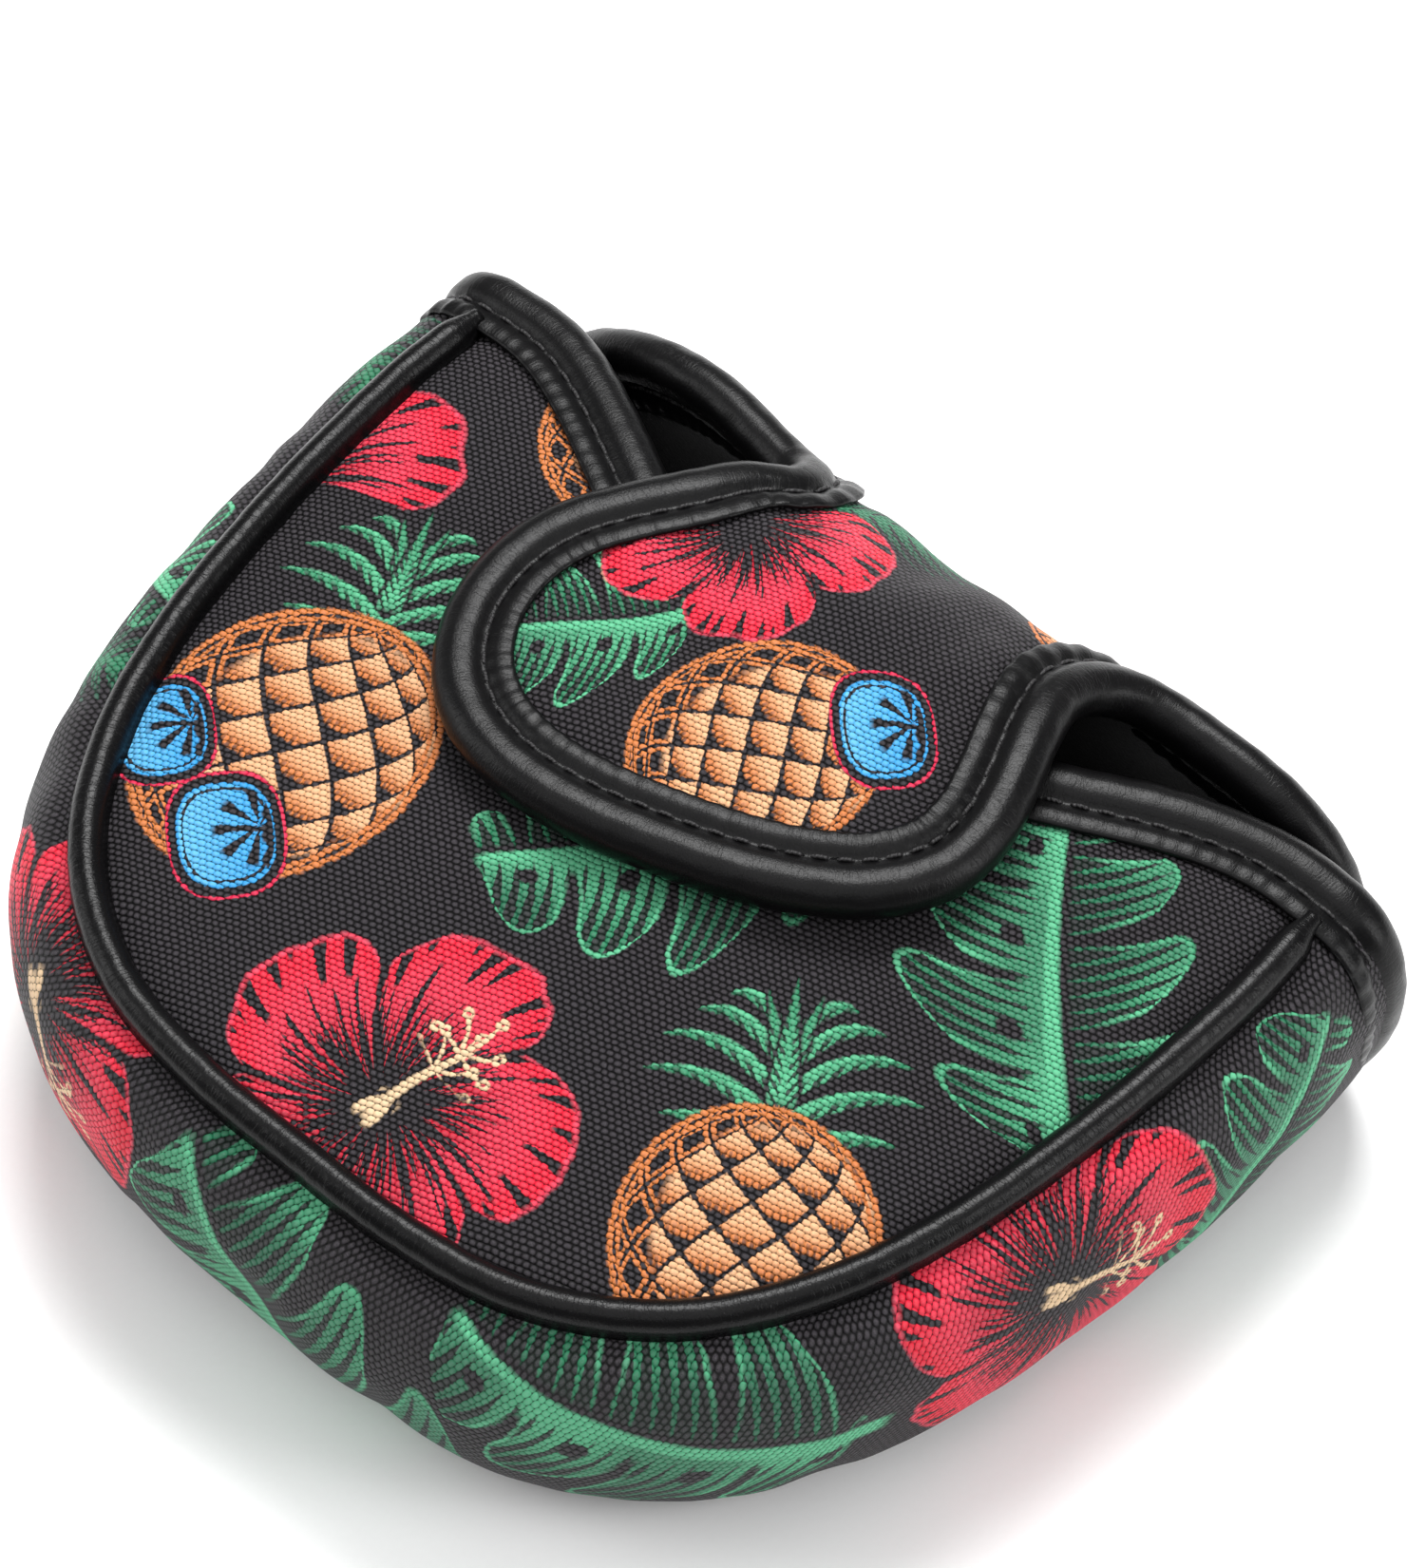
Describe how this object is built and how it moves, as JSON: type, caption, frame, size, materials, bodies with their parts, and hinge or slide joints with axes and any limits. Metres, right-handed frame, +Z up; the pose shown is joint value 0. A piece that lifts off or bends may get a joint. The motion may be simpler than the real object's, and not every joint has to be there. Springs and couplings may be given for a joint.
{
  "type": "mallet putter head cover",
  "caption": "Padded mallet putter head cover: puffy pouch with piped crown and rolled binding, front wall that folds down and magnetic flap that folds over the crown.",
  "frame": {"origin": "centre of the whole cover's box, on the plane the sole rests on", "axes": "+X towards the heel side, +Y towards the mouth and front wall, +Z up from the sole to the crown"},
  "size_m": [0.177, 0.1446, 0.0589],
  "materials": {
    "printed_canvas": "chunky woven canvas, dark ground with a printed tropical pattern",
    "padding": "soft padding sheet",
    "lining": "brushed dark lining",
    "binding_leather": "satin, fine grain",
    "piping_leather": "semi-gloss, wrinkled grain",
    "magnet": "plated"
  },
  "bodies": {
    "pouch": {"crown_shell": "printed_canvas", "crown_foam": "padding", "crown_lining": "lining", "gusset_shell": "printed_canvas", "gusset_foam": "padding", "gusset_lining": "lining", "sole_shell": "printed_canvas", "sole_foam": "padding", "sole_lining": "lining", "crown_piping": "piping_leather", "mouth_binding": "binding_leather", "crown_magnet_heel": "magnet", "crown_magnet_toe": "magnet"},
    "front_wall": {"front_wall_shell": "printed_canvas", "front_wall_foam": "padding", "front_wall_lining": "lining", "wall_binding_heel": "binding_leather", "wall_binding_toe": "binding_leather"},
    "flap": {"flap_shell": "printed_canvas", "flap_foam": "padding", "flap_lining": "lining", "flap_binding": "binding_leather", "flap_magnet_heel": "magnet", "flap_magnet_toe": "magnet"}
  },
  "joints": [
    {"name": "front_wall_fold", "type": "hinge", "parent": "pouch", "child": "front_wall", "pos_m": [0, 0.0724, 0.0003], "axis": [-1, 0, 0], "range_deg": [0, 70]},
    {"name": "flap_fold", "type": "hinge", "parent": "front_wall", "child": "flap", "pos_m": [0, 0.0724, 0.0444], "axis": [-1, 0, 0], "range_deg": [0, 110]}
  ]
}
